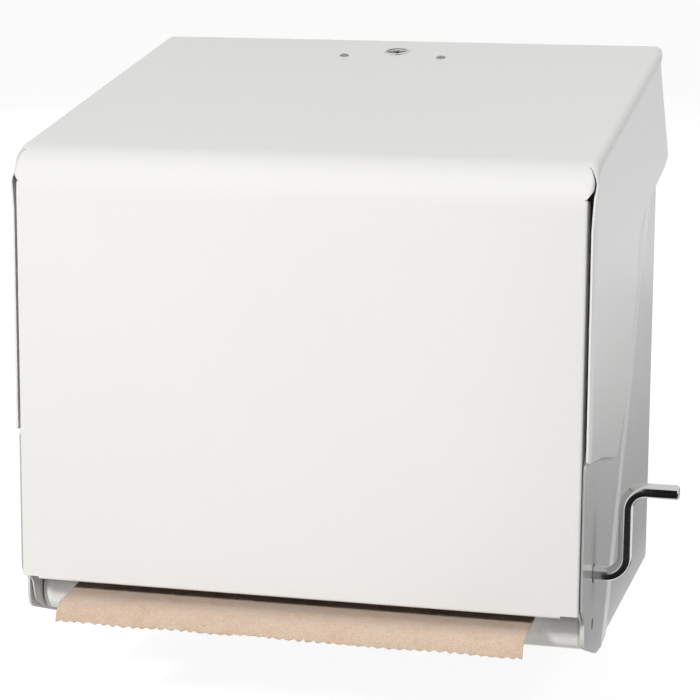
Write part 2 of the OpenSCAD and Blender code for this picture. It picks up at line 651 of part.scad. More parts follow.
module lower_roller() color([0.95, 0.95, 0.94]) place() at_axle() difference() {
    rod_x(cap_flange - roller_x, roller_x - cap_flange, roller_d / 2, 72);
    rod_x(-roller_x, roller_x, roller_d / 2 - tube_wall, 72);
}
module roller_end_caps() color([0.88, 0.88, 0.87]) place() at_axle() both_sides() difference() {
    union() {
        rod_x(roller_x - cap_flange, roller_x, roller_d / 2, 72);
        rod_x(roller_x - cap_flange - 8, roller_x - cap_flange / 2, roller_d / 2 - tube_wall, 72);
    }
    rod_x(roller_x - 12, roller_x + 1, axle_r + run);
}

// Cover

module panel_with_returns() {
    // upright part of the panel, its side bends and returns, seen from above
    translate([0, 0, panel_z]) linear_extrude(bend_c[1] - panel_z)
        polygon(sheet([[-return_x, return_d], [-return_x, 0], [return_x, 0], [return_x, return_d]],
            cover_t, panel_bend_r));
}
// Panel, large bend and top in one, without their side bends
module front_and_top() {
    half = wing_x - side_bend_r - lip / 2;
    length = (top_back - bend_y) / cos(top_slope);
    difference() {
        along_x(-half, 2 * half) polygon(sheet(
            [[0, panel_z], [0, front_h], [top_back, top_z(top_back)]], -cover_t, front_bend_r));
        below_ears();
        // rounded corners at the top's rear
        both_sides() on_top(bend_y) translate([0, 0, -3]) linear_extrude(6) difference() {
            translate([half - 30, length - 2 * top_corner]) square([40, 3 * top_corner]);
            polygon(rounded([[half - 40, length - 3 * top_corner], [half + 0.5, length - 3 * top_corner],
                [half + 0.5, length - top_corner], [half - 3, length], [half - 40, length]],
                [0, 0, 12, 8, 0]));
        }
    }
}
// What is cut away on both sides of the panel, up to the ears
module below_ears() both_sides() translate([return_x - panel_bend_r - 1, -1, panel_z - 1])
    cube([20, front_bend_r, ear_low - panel_z + 1]);
// Section of a bend from a wing to the top, about the bend's axis, with a flat lip on each side
function quarter(d) = [for (p = concat(
    [[side_bend_r, -lip]], [for (a = [0:arc_step:90]) side_bend_r * [cos(a), sin(a)]],
    [[-lip, side_bend_r], [-lip, side_bend_r - cover_t]],
    [for (a = [90:-arc_step:0]) (side_bend_r - cover_t) * [cos(a), sin(a)]],
    [[side_bend_r - cover_t, -lip]])) p - [d, d]];
// Points at radius r on the large bend, between two angles
function bend_arc(a0, a1, r) = let (n = ceil((a1 - a0) / arc_step))
    [for (i = [0:n]) let (a = a0 + (a1 - a0) * i / n) bend_c + r * [cos(a), sin(a)]];
wing_bend_r = front_bend_r - side_bend_r - lip / 2; // the wing's flat part ends at this radius
wing_top = (side_bend_r + lip / 2) / cos(top_slope); // and this far below the top
wing_rear_y = top_back - top_corner;
ear_low = bend_c[1] + wing_bend_r * sin(ear_a1);
wing_outline = rounded(
    concat(
        [[wing_front_y, wing_low_z], [36, wing_low_z - 4.5], [78, wing_low_z - 13.5],
         [108, wing_low_z + 8], [116, wing_low_z + 25], [126.5, wing_low_z + 50], [131, wing_tip_z - 25],
         [148, wing_tip_z - 17], [case_d - 12, wing_tip_z - 5],
         [case_d - wall_clear, wing_tip_z - 1.2], [case_d - wall_clear, wing_tip_z + 1],
         [top_back - 7, wing_tip_z + 28], [wing_rear_y, top_z(wing_rear_y) - wing_top]],
        bend_arc(top_a, top_a + wing_arc, wing_bend_r),
        [[ear_back + ear_gap, ear_low + 3.6], [ear_back + ear_gap, ear_low - ear_gap],
         [wing_front_y, ear_low - ear_gap]]),
    concat([2, 80, 3, 24, 30, 40, 14, 20, 20, 1.6, 1.2, 14, 0],
        [for (p = bend_arc(top_a, top_a + wing_arc, 1)) 0], [2, 1.2, 1]));
module wing() {
    along_x(wing_x - cover_t, cover_t) polygon(wing_outline);
    // bend to the top: straight along the slope, then round the large bend
    on_top(bend_y) translate([wing_x - side_bend_r, -0.5, -side_bend_r]) rotate([90, 0, 0]) mirror([0, 0, 1])
        linear_extrude((wing_rear_y - bend_y) / cos(top_slope) + 0.5) polygon(quarter(step_in + 0.04));
    corner_bend(top_a, wing_arc);
}
// The same bend where it follows the large bend, from angle a by a sweep
module corner_bend(a, sweep) translate([0, bend_c[0], bend_c[1]]) rotate([90, 0, 90]) rotate([0, 0, a])
    rotate_extrude(angle = sweep) translate([front_bend_r - side_bend_r, wing_x - side_bend_r])
        polygon([for (p = quarter(step_in)) [p[1], p[0]]]);
// Small ear at the end of the large bend, which closes the corner in front of the wing
module corner_ear() difference() {
    union() {
        corner_bend(ear_a0, 176 - ear_a0);
        along_x(wing_x - cover_t, cover_t) polygon(concat(
            bend_arc(ear_a0, 176, wing_bend_r),
            [[6, ear_low - 2]],
            corner([6, ear_low], [ear_back, ear_low], [ear_back, ear_low + 9], 1.5),
            corner([ear_back, ear_low], [ear_back, ear_low + 4], bend_arc(ear_a0, 176, wing_bend_r)[0], 1.5)));
    }
    below_ears();
}
// Ears at the panel's lower corners, which hinge on the lower axle
hinge_ear_outline = concat(
    rounded([[2.5, panel_z + 9], [2.5, panel_z], [4, panel_z], [nose_y + 1.5, axle_z + 6.5],
        [nose_y + 4, axle_z - 3], [axle_y - 7, axle_z - hinge_ear_r],
        [axle_y + hinge_ear_r, axle_z - hinge_ear_r], [axle_y + hinge_ear_r, axle_z + hinge_ear_r],
        [axle_y - 4, axle_z + hinge_ear_r], [return_d, panel_z + 9]],
        [0, 0, 2, 3, 6, 6, hinge_ear_r - 0.1, hinge_ear_r - 0.1, 8, 0]));
module hinge_ear() difference() {
    along_x(return_in_x, cover_t) polygon(hinge_ear_outline);
    at_axle() rod_x(return_in_x - 1, return_x + 1, axle_r + run);
}
module hem() along_x(hem_inset - return_x, 2 * (return_x - hem_inset))
    polygon(sheet([[0, panel_z + 2], [0, panel_z - hem_drop], [2 * cover_t + 0.4, panel_z - hem_drop],
        [2 * cover_t + 0.4, panel_z + 7]], cover_t, 0.95));

module cover() color([0.97, 0.97, 0.96]) place() difference() {
    union() {
        panel_with_returns();
        front_and_top();
        both_sides() {
            wing();
            corner_ear();
            hinge_ear();
        }
        hem();
    }
    at_lock() translate([0, 0, -5]) cylinder(h = 10, r = lock_d / 2 + 0.2);
    at_lock() for (x = [-1, 1]) translate([x * lock_rivet_dx / 2, lock_rivet_y, -5])
        cylinder(h = 10, r = 1.6 + run);
}

// Lock

module lock_case() color([0.7, 0.71, 0.73]) place() at_lock() difference() {
    union() {
        translate([0, 0, -cover_t - case_t]) linear_extrude(case_t) polygon(rounded(
            [[-lock_plate_x, lock_rivet_y - lock_margin], [lock_plate_x, lock_rivet_y - lock_margin],
             [lock_plate_x, boss_r + 2], [-lock_plate_x, boss_r + 2]], [3, 3, 3, 3]));
        translate([0, 0, -cover_t - case_t - boss_h]) cylinder(h = boss_h, r = boss_r);
    }
    translate([0, 0, -30]) cylinder(h = 60, r = barrel_r + run);
    for (x = [-1, 1]) translate([x * lock_rivet_dx / 2, lock_rivet_y, -5]) cylinder(h = 10, r = 1.6 + run);
}
module lock_rivets() color([0.92, 0.92, 0.91]) place() at_lock()
    for (x = [-1, 1]) translate([x * lock_rivet_dx / 2, lock_rivet_y, 0]) {
        translate([0, 0, -cover_t - case_t]) cylinder(h = cover_t + case_t, r = 1.6);
        translate([0, 0, -cover_t - case_t - 0.9]) cylinder(h = 0.9, r = 2.6);
        // low domed head
        intersection() {
            translate([0, 0, -2.6]) sphere(r = 3.5, $fn = 32);
            cylinder(h = 2, r = 2.3);
        }
    }
module lock_barrel() color([0.62, 0.63, 0.65]) place() at_lock() difference() {
    union() {
        translate([0, 0, -cam_drop - cam_t]) cylinder(h = cam_drop + cam_t - cover_t - 0.1, r = barrel_r);
        translate([0, 0, -cover_t - 0.2]) cylinder(h = cover_t - 0.3, r = lock_d / 2);
    }
    // flat on the end that drives the cam
    for (x = [-1, 1]) translate([x * 4 - (x < 0 ? 6 : 0), -10, -cam_drop - cam_t - 1]) cube([6, 20, cam_t + 1]);
    // keyway
    translate([-0.8, -3.2, -4]) cube([1.6, 6.4, 6]);
    translate([0, 0, -cam_drop - cam_t - 1]) cylinder(h = 7, r = 1.5 + run);
}
module lock_cam() color([0.75, 0.76, 0.77]) place() at_lock() translate([0, 0, -cam_drop - cam_t])
    difference() {
        linear_extrude(cam_t) {
            circle(r = boss_r - 0.5);
            translate([0, -cam_w / 2]) square([cam_l - 3, cam_w]);
            translate([cam_l - 3, 0]) square([6, cam_w - 4], center = true);
        }
        translate([0, 0, -1]) linear_extrude(cam_t + 2) intersection() {
            circle(r = barrel_r + run);
            square([8 + 2 * run, 20], center = true);
        }
    }
module cam_screw() color([0.6, 0.6, 0.62]) place() at_lock() translate([0, 0, -cam_drop - cam_t]) {
    translate([0, 0, -1.8]) cylinder(h = 1.8, r = boss_r - 1.5);
    cylinder(h = 5, r = 1.5);
}

chassis();
front_rail();
tear_bar();
tear_bar_screws();
lower_axle();
bearing_guide_left();
bearing_guide_right();
feed_spring_left();
feed_spring_right();
strike_bracket();
strike_rivets();
arm_bracket_left();
arm_bracket_right();
arm_pin_left();
arm_pin_right();
arm_spring_left();
arm_spring_right();
towel_web();
bearing_block_left();
bearing_block_right();
crank();
feed_roller_core();
feed_roller_sleeves();
roller_pins();
crank_clips();
lower_roller();
roller_end_caps();
cover();
lock_case();
lock_rivets();
lock_barrel();
lock_cam();
cam_screw();
roll_arm_left();
hub_left();
hub_rivet_left();
roll_arm_right();
hub_right();
hub_rivet_right();
towel_core();
towel_roll();
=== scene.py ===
from math import atan2, cos, degrees, hypot, pi, radians, sin, tan

import bmesh
import bpy
from mathutils import Matrix, Vector, noise


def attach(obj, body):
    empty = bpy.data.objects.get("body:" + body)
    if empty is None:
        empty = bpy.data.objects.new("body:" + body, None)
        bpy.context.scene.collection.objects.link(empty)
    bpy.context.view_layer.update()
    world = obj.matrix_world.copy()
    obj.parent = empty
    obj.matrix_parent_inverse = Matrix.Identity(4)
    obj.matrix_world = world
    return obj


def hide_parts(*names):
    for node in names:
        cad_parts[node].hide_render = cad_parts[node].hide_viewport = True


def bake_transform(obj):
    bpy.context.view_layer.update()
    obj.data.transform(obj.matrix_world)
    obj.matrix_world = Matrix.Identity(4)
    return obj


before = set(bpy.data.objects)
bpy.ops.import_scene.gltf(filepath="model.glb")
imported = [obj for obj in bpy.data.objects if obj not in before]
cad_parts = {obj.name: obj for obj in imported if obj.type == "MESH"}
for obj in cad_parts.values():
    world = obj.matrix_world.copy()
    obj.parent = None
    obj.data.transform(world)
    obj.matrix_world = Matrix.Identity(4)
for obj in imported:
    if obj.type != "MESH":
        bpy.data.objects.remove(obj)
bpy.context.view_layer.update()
scene = bpy.context.scene
scene.view_settings.view_transform = "Standard"

# Studio: the camera stands right of the dispenser and looks down on it, three soft lamps light
# its front, side and back, and a pale floor lies below everything that hangs or swings.
camera = bpy.data.objects.new("camera", bpy.data.cameras.new("camera"))
camera.data.sensor_width = 36
camera.data.lens = 128.267
camera.data.clip_start = 0.05
camera.location = (0.266876, -1.179821, 0.199478)
camera.rotation_euler = [radians(a) for a in (79.58935, -0.33580, 14.34259)]
scene.collection.objects.link(camera)
scene.camera = camera


def soft_lamp(name, place, aim, width, height, power, tint=(1, 1, 1)):
    """A lamp with a broad face, turned to a point, that no gloss mirrors."""
    lamp = bpy.data.lights.new(name, "AREA")
    lamp.shape, lamp.size, lamp.size_y, lamp.energy, lamp.color = "RECTANGLE", width, height, power, tint
    holder = bpy.data.objects.new(name, lamp)
    holder.location = place
    holder.rotation_euler = (Vector(aim) - Vector(place)).to_track_quat("-Z", "Y").to_euler()
    holder.visible_glossy = False
    scene.collection.objects.link(holder)


soft_lamp("front_lamp", (-0.66, -2.36, 1.35), (0, -0.1, 0), 0.35, 0.35, 54, (1, 0.985, 0.965))
soft_lamp("side_lamp", (1.3, -0.2, 1.1), (0, -0.1, 0.05), 0.6, 0.6, 8.1)
soft_lamp("back_lamp", (-1.3, 2.0, 1.1), (0, -0.1, 0), 1.0, 1.0, 17)


def wired(finish, kind, sockets, **settings):
    """Adds a shader node: a socket's value is a number, a colour or another node's output."""
    made = finish.node_tree.nodes.new(kind)
    for setting, value in settings.items():
        setattr(made, setting, value)
    for socket, value in sockets.items():
        if isinstance(value, bpy.types.NodeSocket):
            finish.node_tree.links.new(value, made.inputs[socket])
        else:
            made.inputs[socket].default_value = value
    return made


# A plain surround: dim for the light it gives, a little darker than white where a gloss sees it,
# and white where the camera sees it.
surround = bpy.data.worlds.new("surround")
surround.use_nodes = True
scene.world = surround
surround.node_tree.nodes.clear()
ray = wired(surround, "ShaderNodeLightPath", {})
dim = wired(surround, "ShaderNodeBackground", {"Color": (0.975, 0.99, 1, 1), "Strength": 0.14})
whiter = wired(surround, "ShaderNodeMath", {0: ray.outputs["Is Camera Ray"], 1: 0.2, 2: 0.8},
               operation="MULTIPLY_ADD")
white = wired(surround, "ShaderNodeBackground", {"Color": (1, 1, 1, 1), "Strength": whiter.outputs[0]})
seen = wired(surround, "ShaderNodeMath", {0: ray.outputs["Is Camera Ray"], 1: ray.outputs["Is Glossy Ray"]},
             operation="MAXIMUM")
shown = wired(surround, "ShaderNodeMixShader", {0: seen.outputs[0], 1: dim.outputs[0], 2: white.outputs[0]})
wired(surround, "ShaderNodeOutputWorld", {"Surface": shown.outputs[0]})

floor_z = -0.147
floor_mesh = bmesh.new()
bmesh.ops.create_grid(floor_mesh, x_segments=1, y_segments=1, size=30,
                      matrix=Matrix.Translation((0, 0, floor_z)))
floor = bpy.data.objects.new("floor", bpy.data.meshes.new("floor"))
floor_mesh.to_mesh(floor.data)
scene.collection.objects.link(floor)
pale = bpy.data.materials.new("pale_floor")
pale.use_nodes = True
pale.node_tree.nodes.clear()
ray = wired(pale, "ShaderNodeLightPath", {})
matt = wired(pale, "ShaderNodeBsdfDiffuse", {"Color": (0.75, 0.75, 0.75, 1)})
lift = wired(pale, "ShaderNodeEmission", {"Color": (1, 1, 1, 1), "Strength": 1.27})
share = wired(pale, "ShaderNodeMath", {0: ray.outputs["Is Glossy Ray"], 1: 0.6}, operation="MULTIPLY")
share = wired(pale, "ShaderNodeMath", {0: ray.outputs["Is Camera Ray"], 1: 0.73, 2: share.outputs[0]},
              operation="MULTIPLY_ADD")
faint = wired(pale, "ShaderNodeMixShader", {0: share.outputs[0], 1: matt.outputs[0], 2: lift.outputs[0]})
wired(pale, "ShaderNodeOutputMaterial", {"Surface": faint.outputs[0]})
floor.data.materials.append(pale)

# Chassis: folded from 1 mm steel sheet and enamelled white, with a slanted joggle in each
# side plate. Its front rail is spot welded between the plates.


def new_finish(name, colour, roughness, metallic=0.0, **sockets):
    """A finish with plain values set straight on its shader."""
    finish = bpy.data.materials.new(name)
    finish.use_nodes = True
    shader = finish.node_tree.nodes["Principled BSDF"]
    shader.inputs["Base Color"].default_value = (*colour, 1)
    shader.inputs["Roughness"].default_value = roughness
    shader.inputs["Metallic"].default_value = metallic
    for socket, value in sockets.items():
        shader.inputs[socket.replace("_", " ").title()].default_value = value
    return finish, shader


def on_object(finish, stretch=(1, 1, 1)):
    """Object coordinates, stretched along the axes."""
    place = wired(finish, "ShaderNodeTexCoord", {}).outputs["Object"]
    return wired(finish, "ShaderNodeMapping", {"Vector": place, "Scale": stretch}).outputs[0]


def grain(finish, scale, detail=2.0, stretch=(1, 1, 1)):
    """An uneven pattern, finer with a larger scale."""
    sockets = {"Vector": on_object(finish, stretch), "Scale": scale, "Detail": detail}
    return wired(finish, "ShaderNodeTexNoise", sockets).outputs["Fac"]


def spread(finish, value, low, high, start=0.3, end=0.7):
    """Takes a pattern's value between start and end to low and high."""
    return wired(finish, "ShaderNodeMapRange", {"Value": value, "From Min": start, "From Max": end,
                                                "To Min": low, "To Max": high}).outputs[0]


def blended(finish, share, first, second):
    """Mixes two colours by a pattern's value."""
    mixed = wired(finish, "ShaderNodeMix", {"Factor": share}, data_type="RGBA")
    for socket, colour in ((6, first), (7, second)):
        if isinstance(colour, bpy.types.NodeSocket):
            finish.node_tree.links.new(colour, mixed.inputs[socket])
        else:
            mixed.inputs[socket].default_value = (*colour, 1)
    return mixed.outputs[2]


def relief(finish, shader, height, depth, under=None):
    """A bump of that depth in metres, over another bump."""
    sockets = {"Height": height, "Distance": depth, "Strength": 1.0}
    if under is not None:
        sockets["Normal"] = under
    bump = wired(finish, "ShaderNodeBump", sockets).outputs[0]
    finish.node_tree.links.new(bump, shader.inputs["Normal"])
    return bump


def feed(finish, shader, socket, value):
    """Lets a pattern set a socket of the shader."""
    finish.node_tree.links.new(value, shader.inputs[socket])


def enamel(name, colour, roughness):
    """Baked enamel: a thin gloss over a fine orange peel, in a tone that drifts a little."""
    finish, shader = new_finish(name, colour, roughness, coat_weight=0.12, coat_roughness=0.3)
    feed(finish, shader, "Base Color", blended(finish, grain(finish, 7), colour, [c * 0.96 for c in colour]))
    relief(finish, shader, grain(finish, 560, 1), 0.000004)
    return finish


white_enamel = enamel("white_enamel", (0.83, 0.83, 0.82), 0.2)
# the case's white is greyer than the cover's: partly a slightly different white, partly painted shade for
# the side plates that stand back under the cover's wings
shaded_case_enamel = enamel("shaded_case_enamel", (0.69, 0.69, 0.685), 0.2)
# a grey enamel that paints the shade in the narrow seams
seam_shade_enamel = enamel("seam_shade_enamel", (0.45, 0.45, 0.45), 0.5)


def taken_over(node, body, finish, edge=0.15, smooth=38):
    """Redraws a CAD piece: flat faces in one, its edges eased by a small width in mm."""
    shape = bmesh.new()
    shape.from_mesh(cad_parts[node].data)
    bmesh.ops.remove_doubles(shape, verts=shape.verts, dist=1e-6)
    bmesh.ops.dissolve_limit(shape, angle_limit=radians(0.4), verts=shape.verts, edges=shape.edges)
    return finished(shape, node + "_piece", body, finish, (node,), edge, smooth)


def finished(shape, name, body, finish, stands_for=(), edge=0.15, smooth=38):
    """Makes the object of a shape, with eased edges and a smooth surface between them."""
    mesh = bpy.data.meshes.new(name)
    shape.to_mesh(mesh)
    shape.free()
    mesh.shade_smooth()
    mesh.set_sharp_from_angle(angle=radians(smooth))
    piece = bpy.data.objects.new(name, mesh)
    scene.collection.objects.link(piece)
    mesh.materials.append(finish)
    if edge:
        bevel = piece.modifiers.new("eased_edges", "BEVEL")
        bevel.width, bevel.segments, bevel.angle_limit = edge / 1000, 2, radians(smooth)
        bevel.use_clamp_overlap = True
        weigh = piece.modifiers.new("flat_faces", "WEIGHTED_NORMAL")
        weigh.keep_sharp = True
    if body:
        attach(piece, body)
    if stands_for:
        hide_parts(*stands_for)
    return piece


chassis = taken_over("chassis", "case", shaded_case_enamel, 0.18)
# the cut front edges behind the cover take a grey enamel, which paints the shade of the narrow seam there
chassis.data.materials.append(seam_shade_enamel)
cover_foot = -0.085
for face in chassis.data.polygons:
    if face.normal.y < -0.9 and face.center.z > cover_foot:
        face.material_index = 1


def zinc(name, colour, roughness):
    """Zinc plated sheet: pale spangle and faint rolling marks."""
    finish, shader = new_finish(name, colour, roughness, 1.0)
    spangle = wired(finish, "ShaderNodeTexVoronoi", {"Vector": on_object(finish), "Scale": 260.0})
    tone = wired(finish, "ShaderNodeSeparateColor", {"Color": spangle.outputs["Color"]}).outputs[0]
    feed(finish, shader, "Base Color", blended(finish, tone, [c * 0.9 for c in colour], colour))
    feed(finish, shader, "Roughness", spread(finish, tone, roughness - 0.05, roughness + 0.08, 0, 1))
    relief(finish, shader, grain(finish, 500, 3, (0.15, 1, 1)), 0.000015)
    return finish


zinc_plate = zinc("zinc_plate", (0.62, 0.63, 0.65), 0.42)
taken_over("front_rail", "case", zinc_plate)

# Tear bar: a serrated strip of stainless steel, against which the paper is torn off. Three pan
# head screws hold it to the rail.


def brushed(name, colour, roughness, stretch):
    """Brushed or drawn steel: fine lines along one way."""
    finish, shader = new_finish(name, colour, roughness, 1.0)
    lines = grain(finish, 1800, 3, stretch)
    feed(finish, shader, "Roughness", spread(finish, lines, roughness - 0.08, roughness + 0.1))
    feed(finish, shader, "Base Color", blended(finish, lines, [c * 0.86 for c in colour], colour))
    relief(finish, shader, lines, 0.000012)
    return finish


blade_steel = brushed("blade_steel", (0.58, 0.58, 0.6), 0.34, (0.03, 1, 1))
taken_over("tear_bar", "case", blade_steel, 0.08)
plain_steel = brushed("plain_steel", (0.5, 0.5, 0.52), 0.36, (1, 0.2, 0.2))
taken_over("tear_bar_screws", "case", plain_steel, 0.2)

# Bearings: a channel welded inside each plate, in which a nylon block carries the crank's
# rod and slides against a pressure spring.
for side in ("left", "right"):
    taken_over("bearing_guide_" + side, "case", zinc_plate)


def moulded(name, colour, roughness, grain_depth=0.00001, **sockets):
    """Moulded plastic: a fine texture from the tool and slightly uneven tone."""
    finish, shader = new_finish(name, colour, roughness, **sockets)
    feed(finish, shader, "Base Color", blended(finish, spread(finish, grain(finish, 35), 0, 1),
                                               colour, [c * 0.96 for c in colour]))
    uneven = spread(finish, grain(finish, 300, 3), roughness - 0.05, roughness + 0.06)
    feed(finish, shader, "Roughness", uneven)
    relief(finish, shader, grain(finish, 1400, 2), grain_depth)
    return finish


nylon = moulded("nylon", (0.76, 0.75, 0.7), 0.46, subsurface_weight=0.08, subsurface_scale=0.004)
dark_nylon = moulded("dark_nylon", (0.02, 0.02, 0.022), 0.5)
for side in ("left", "right"):
    taken_over("bearing_block_" + side, "feed_bearings", dark_nylon, 0.4)


# the frame's origin is on the wall, in the middle of the four wall screws
case_depth, screws_height = 225, 120


def case(x, y, z):
    """A point in the case's own millimetres: from the front panel back, and up from the low edge."""
    return Vector((x, y - case_depth, z - screws_height))


def grow(shape, edges, step, wider=0.0):
    """Extrudes edges by a step, widens them about their middle, and returns the new ones."""
    grown = bmesh.ops.extrude_edge_only(shape, edges=edges)["geom"]
    verts = [g for g in grown if isinstance(g, bmesh.types.BMVert)]
    edges = [g for g in grown if isinstance(g, bmesh.types.BMEdge) and all(v in verts for v in g.verts)]
    bmesh.ops.translate(shape, vec=step, verts=verts)
    if wider:
        centre = sum((v.co for v in verts), Vector()) / len(verts)
        for v in verts:
            v.co += (v.co - centre).normalized() * wider
    return edges


def coil(middle, radius, rise, turns, wire, first_leg=(), last_leg=()):
    """A wire coil about an upright axis, with straight legs led on from its ends."""
    shape = bmesh.new()
    per_turn = 20
    climb = rise / (per_turn * turns)
    tilt = Matrix.Rotation(atan2(rise / turns, 2 * pi * radius), 4, "X")
    start = Matrix.Translation((radius, 0, 0)) @ tilt @ Matrix.Rotation(pi / 2, 4, "X")
    ring = bmesh.ops.create_circle(shape, segments=10, radius=wire / 2, matrix=start)["verts"]
    first = list({e for v in ring for e in v.link_edges})
    bent = bmesh.ops.spin(shape, geom=first + ring, cent=(0, 0, 0), axis=(0, 0, 1), dvec=(0, 0, climb),
                          angle=2 * pi * turns, steps=per_turn * turns)
    last = [e for e in bent["geom_last"] if isinstance(e, bmesh.types.BMEdge)]
    for edges, leg in ((first, first_leg), (last, last_leg)):
        for step in leg:
            edges = grow(shape, edges, step)
        bmesh.ops.contextual_create(shape, geom=edges)
    bmesh.ops.recalc_face_normals(shape, faces=shape.faces)
    bmesh.ops.translate(shape, vec=middle, verts=shape.verts)
    return shape


def in_frame(shape, mirrored=False):
    """From the case's millimetres to the frame's metres."""
    if mirrored:
        bmesh.ops.scale(shape, vec=(-1, 1, 1), verts=shape.verts)
        bmesh.ops.reverse_faces(shape, faces=shape.faces)
    bmesh.ops.scale(shape, vec=(0.001, 0.001, 0.001), verts=shape.verts)
    return shape


spring_wire = brushed("spring_wire", (0.36, 0.365, 0.38), 0.3, (1, 1, 0.3))
roller_y, feed_spring_x = 30.5, 113.4
feed_coil_z, feed_coil_r, feed_coil_rise, feed_wire_d, coil_turns = 54.55, 3.6, 15.7, 0.9, 5
for side, x in (("left", -feed_spring_x), ("right", feed_spring_x)):
    spring = coil(case(feed_spring_x, roller_y, feed_coil_z), feed_coil_r, feed_coil_rise, coil_turns,
                  feed_wire_d)
    wire = finished(in_frame(spring, side == "left"), "feed_spring_wire_" + side, None, spring_wire,
                    ("feed_spring_" + side,), 0)
    # its foot stands on the block, its head against the guide
    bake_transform(wire)

# Roll arms: a zinc plated strap on each side, hinged on an upright pin in a bracket welded to
# the back, with a wire spring round the pin and a tapered nylon hub on a shouldered rivet.
pin_x, pin_y, arm_coil_z = 106, 207, 125.4
arm_coil_r, arm_coil_rise, arm_wire_d = 3.4, 16.9, 1.0
back_leg = [(0, 4, 0), (0, 8.5, 0)]
arm_leg = [(0, -4, 0), (-2.9, -12, 0), (-0.5, -10, 0)]
for side, x in (("left", -pin_x), ("right", pin_x)):
    taken_over("arm_bracket_" + side, "case", zinc_plate)
    taken_over("arm_pin_" + side, "case", plain_steel)
    spring = coil(case(pin_x, pin_y, arm_coil_z), arm_coil_r, arm_coil_rise, coil_turns, arm_wire_d,
                  back_leg, arm_leg)
    wire = finished(in_frame(spring, side == "left"), "arm_spring_wire_" + side, None, spring_wire,
                    ("arm_spring_" + side,), 0)
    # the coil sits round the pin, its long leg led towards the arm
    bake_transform(wire)
    taken_over("roll_arm_" + side, "arm_" + side, zinc_plate, 0.25)
    taken_over("hub_" + side, "arm_" + side, nylon, 0.5)
    taken_over("hub_rivet_" + side, "arm_" + side, plain_steel, 0.3)

# Strike: a zinc plated steel angle, bent up from strip and riveted twice to the back. The lock's
# cam turns in under it and keeps the cover shut.
taken_over("strike_bracket", "case", zinc_plate)
taken_over("strike_rivets", "case", plain_steel, 0.3)

# Towel: a roll of unbleached kraft paper on a wound board core. The web runs from under the
# roll between the rollers and out below the cover, where it ends in torn teeth.
roll_middle = case(0, 118, 140)


def kraft(name, colour, along):
    """Unbleached towel paper: pale and dark fibres, a fine crepe across the web and a soft fuzz."""
    finish, shader = new_finish(name, colour, 0.92, sheen_weight=0.25, sheen_roughness=0.6)
    fibres = grain(finish, 1500, 5, (1, 1, 1))
    cloud = grain(finish, 300, 4)
    flecks = grain(finish, 420, 6, along)
    tone = blended(finish, spread(finish, cloud, 0, 1, 0.38, 0.62), colour,
                   (colour[0] * 0.9, colour[1] * 0.83, colour[2] * 0.78))
    tone = blended(finish, spread(finish, grain(finish, 90, 3), 0, 1, 0.35, 0.65), tone,
                   (colour[0] * 0.97, colour[1] * 1.0, colour[2] * 1.0))
    tone = blended(finish, spread(finish, fibres, 0, 0.75, 0.4, 0.72), tone, [c * 0.72 for c in colour])
    tone = blended(finish, spread(finish, flecks, 0, 0.8, 0.66, 0.74), tone, (0.29, 0.19, 0.11))
    feed(finish, shader, "Base Color", tone)
    crepe = relief(finish, shader, grain(finish, 650, 3, along), 0.00016)
    relief(finish, shader, fibres, 0.00006, crepe)
    return finish


towel_paper = kraft("towel_paper", (0.725, 0.555, 0.43), (1, 2.2, 2.2))


def wound_paper():
    """The roll's ends show its turns as fine rings."""
    finish, shader = new_finish("wound_paper", (0.6, 0.45, 0.33), 0.95, sheen_weight=0.2)
    place = wired(finish, "ShaderNodeTexCoord", {}).outputs["Object"]
    place = wired(finish, "ShaderNodeMapping", {"Vector": place, "Location": -roll_middle / 1000}).outputs[0]
    flat = wired(finish, "ShaderNodeVectorMath", {0: place, 1: (0, 1, 1)}, operation="MULTIPLY").outputs[0]
    out = wired(finish, "ShaderNodeVectorMath", {0: flat}, operation="LENGTH").outputs["Value"]
    waver = wired(finish, "ShaderNodeMath", {0: grain(finish, 26, 3), 1: 0.0032, 2: out},
                  operation="MULTIPLY_ADD").outputs[0]
    turn = wired(finish, "ShaderNodeMath", {0: waver, 1: 9000.0}, operation="MULTIPLY").outputs[0]
    rings = wired(finish, "ShaderNodeMath", {0: turn}, operation="SINE").outputs[0]
    tone = spread(finish, rings, 0, 1, -1, 1)
    colour = blended(finish, tone, (0.40, 0.28, 0.19), (0.64, 0.485, 0.355))
    colour = blended(finish, spread(finish, grain(finish, 700, 4), 0, 0.5), colour, (0.5, 0.37, 0.26))
    feed(finish, shader, "Base Color", colour)
    relief(finish, shader, tone, 0.0002)
    return finish


def turned(outline, steps, centre):
    """A shape turned about the axis along X through a centre, from its outline in x and radius."""
    shape = bmesh.new()
    verts = [shape.verts.new((x, 0, r)) for x, r in outline]
    edges = [shape.edges.new(pair) for pair in zip(verts, verts[1:])]
    bmesh.ops.spin(shape, geom=verts + edges, cent=(0, 0, 0), axis=(1, 0, 0), angle=2 * pi, steps=steps,
                   use_merge=True)
    bmesh.ops.remove_doubles(shape, verts=shape.verts, dist=0.0001)
    bmesh.ops.recalc_face_normals(shape, faces=shape.faces)
    bmesh.ops.translate(shape, vec=centre, verts=shape.verts)
    return shape


roll_outer, roll_bore, roll_half = 75, 23.02, 99
rings = [roll_bore + i * (roll_outer - roll_bore) / 60 for i in range(61)]
face = [(roll_half - 0.3 * abs(noise.noise((r * 1.7, 0, 3))) - (0.25 if i % 2 else 0), r)
        for i, r in enumerate(rings)]
face[-1] = (roll_half - 0.35, roll_outer)
hollow = [(-roll_half / 3, roll_outer - 0.05), (roll_half / 3, roll_outer - 0.05)]
outline = [(-x, r) for x, r in face] + hollow + [(x, r) for x, r in reversed(face)]
outline += [outline[0]]
roll_shape = turned(outline, 144, roll_middle)
roll_piece = finished(in_frame(roll_shape), "towel_roll_turns", "towel", towel_paper,
                      ("towel_roll",), 0, 50)
roll_piece.data.materials.append(wound_paper())
for turn in roll_piece.data.polygons:
    turn.material_index = int(abs(turn.normal.x) > 0.3)

